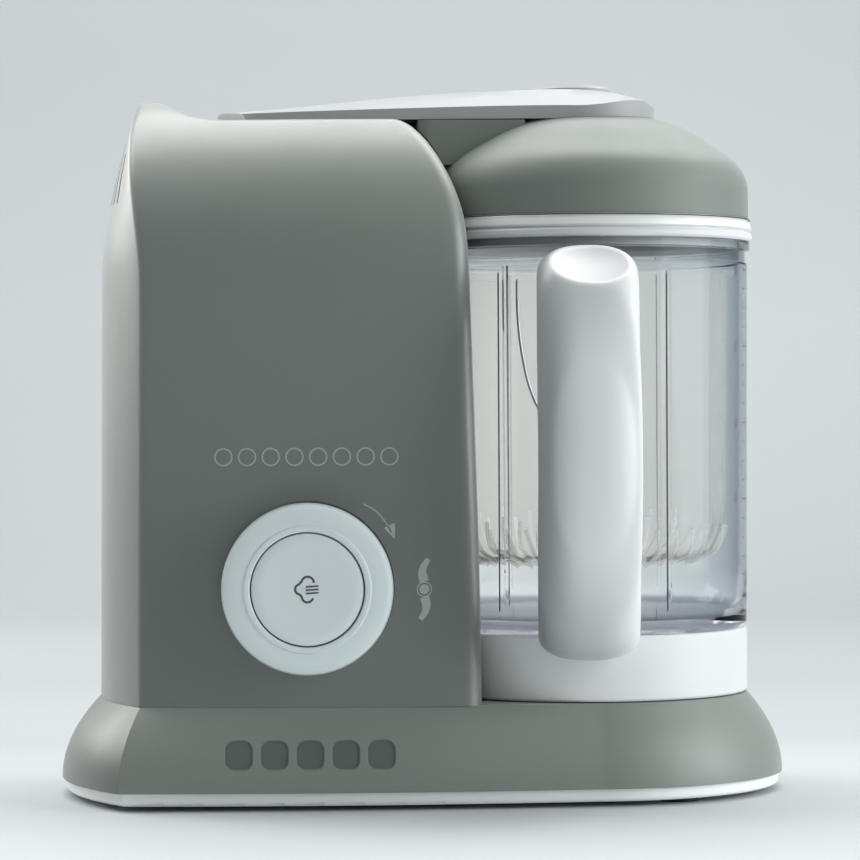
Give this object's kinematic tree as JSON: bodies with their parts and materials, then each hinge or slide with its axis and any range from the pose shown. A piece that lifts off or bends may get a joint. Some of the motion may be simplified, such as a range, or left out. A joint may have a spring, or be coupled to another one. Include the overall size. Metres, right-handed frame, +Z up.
{
  "type": "baby food maker",
  "caption": "Countertop steamer and blender with a grey body, large white dial, clear handled jug under a hinged domed lid, white lid arm and flared base.",
  "frame": {"origin": "on the table under the middle of the footprint", "axes": "+X towards the jug end, -Y towards the user (dial and handle side), +Z up"},
  "size_m": [0.286, 0.2125, 0.2788],
  "materials": {
    "grey_plastic": "satin",
    "white_plastic": "satin gloss",
    "clear_plastic": "polished clear",
    "frosted_plastic": "frosted translucent",
    "dark_plastic": "matte",
    "silicone": "soft matte",
    "dark_rubber": "matte",
    "stainless_steel": "brushed",
    "motor_steel": "zinc plated",
    "sintered_bronze": "sintered",
    "element_aluminium": "cast",
    "board_green": "solder mask",
    "fuse_sleeve": "woven sleeve"
  },
  "bodies": {
    "housing": {"base_shell": "grey_plastic", "bottom_plate": "white_plastic", "rubber_feet": "dark_rubber", "plate_screws": "stainless_steel", "body_shell": "grey_plastic", "chassis_plate": "dark_plastic", "motor_can": "motor_steel", "motor_bearings": "sintered_bronze", "motor_magnets": "motor_steel", "drive_belt": "dark_rubber", "spindle_sleeve": "dark_plastic", "spindle_bushes": "sintered_bronze", "jug_seat": "dark_plastic", "button_guide": "dark_plastic", "dial_spring": "stainless_steel", "micro_switches": "dark_plastic", "circuit_board": "board_green", "boiler_vessel": "stainless_steel", "boiler_gasket": "silicone", "heating_element": "element_aluminium", "thermostat": "element_aluminium", "thermal_fuse": "fuse_sleeve", "boiler_bracket": "stainless_steel", "cord_grommet": "dark_rubber", "power_cord": "dark_rubber", "hinge_bracket": "white_plastic"},
    "lid": {"arm_cover": "white_plastic", "lid_dome": "grey_plastic", "lid_ring": "white_plastic", "lid_seal": "silicone", "boiler_plug": "silicone", "steam_nozzle": "silicone", "lock_spring": "stainless_steel", "hinge_pin": "stainless_steel"},
    "lock_button": {"lock_button": "white_plastic"},
    "jug": {"clear_jug": "clear_plastic", "blade_bush": "dark_plastic", "jug_base": "white_plastic", "jug_handle": "white_plastic", "steam_basket": "frosted_plastic", "basket_bail": "stainless_steel"},
    "drive_spindle": {"spindle_shaft": "stainless_steel", "spindle_pulley": "dark_plastic", "drive_coupling": "dark_plastic", "blade_hub": "dark_plastic", "steel_blades": "stainless_steel", "blade_coupling": "dark_plastic"},
    "rotor": {"motor_rotor": "motor_steel", "motor_pulley": "dark_plastic", "cooling_fan": "dark_plastic"},
    "dial": {"dial_ring": "white_plastic", "dial_sleeve": "dark_plastic"},
    "steam_button": {"steam_button": "white_plastic"}
  },
  "joints": [
    {"name": "lid_hinge", "type": "hinge", "parent": "housing", "child": "lid", "pos_m": [-0.0745, 0, 0.2604], "axis": [0, -1, 0], "range_deg": [0, 80]},
    {"name": "lock_button_press", "type": "slide", "parent": "lid", "child": "lock_button", "axis": [0, 0, -1], "range_m": [0, 0.0012]},
    {"name": "jug_turn", "type": "hinge", "parent": "housing", "child": "jug", "pos_m": [0.0656, 0, 0.05], "axis": [0, 0, 1], "range_deg": [0, 30]},
    {"name": "motor_spin", "type": "hinge", "parent": "housing", "child": "rotor", "pos_m": [-0.038, 0.012, 0.05], "axis": [0, 0, 1], "continuous": true},
    {"name": "blade_spin", "type": "hinge", "parent": "housing", "child": "drive_spindle", "pos_m": [0.0656, 0, 0.05], "axis": [0, 0, 1], "continuous": true},
    {"name": "dial_turn", "type": "hinge", "parent": "housing", "child": "dial", "pos_m": [-0.046, -0.08, 0.0835], "axis": [0, 1, 0], "range_deg": [0, 45]},
    {"name": "steam_button_press", "type": "slide", "parent": "dial", "child": "steam_button", "axis": [0, 1, 0], "range_m": [0, 0.002]}
  ],
  "couplings": [
    {"joint": "blade_spin", "follows": "motor_spin", "ratio": 0.5}
  ]
}
